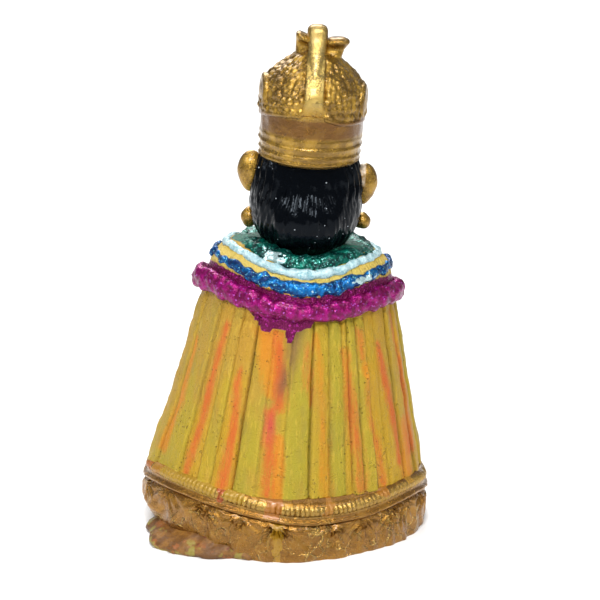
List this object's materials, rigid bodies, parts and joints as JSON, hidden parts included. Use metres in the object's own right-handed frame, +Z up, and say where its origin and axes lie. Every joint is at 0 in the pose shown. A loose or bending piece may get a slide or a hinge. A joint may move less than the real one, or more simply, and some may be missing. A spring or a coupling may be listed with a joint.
{
  "type": "idol",
  "caption": "small painted cast idol with a tall crown, four garlands and a pleated robe, standing on its own flat base",
  "frame": {"origin": "centre of the bounding box at the underside of the base", "axes": "+Z up, the figure faces -Y, its right hand side is towards -X"},
  "size_m": [0.0696, 0.059, 0.1229],
  "materials": {
    "painted_plaster": "satin"
  },
  "bodies": {
    "root": {"idol": "painted_plaster"}
  },
  "joints": []
}
